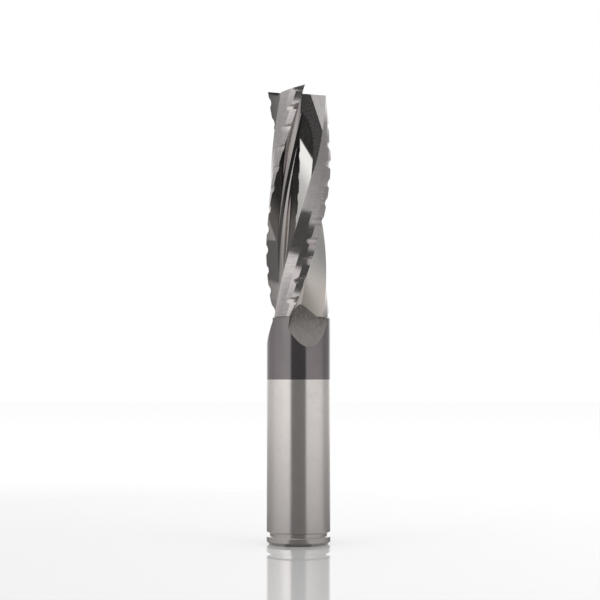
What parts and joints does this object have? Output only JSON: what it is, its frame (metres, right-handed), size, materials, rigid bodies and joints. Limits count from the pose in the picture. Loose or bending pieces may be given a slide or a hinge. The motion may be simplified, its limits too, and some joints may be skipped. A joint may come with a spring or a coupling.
{
  "type": "roughing end mill",
  "caption": "Solid roughing end mill with helical flutes, chip-breaker grooves across its lands and a plain round shank with a groove near its end.",
  "frame": {"origin": "centre of the shank's end face, which the tool stands on", "axes": "+Z along the tool's axis from the shank end to the cutting tip, -Y towards the front of the picture"},
  "size_m": [0.0164, 0.0164, 0.115],
  "materials": {
    "carbide": "ground tungsten carbide, polished in the flutes, with a thin dark coating over the teeth and neck"
  },
  "bodies": {
    "root": {"end_mill": "carbide"}
  },
  "joints": []
}
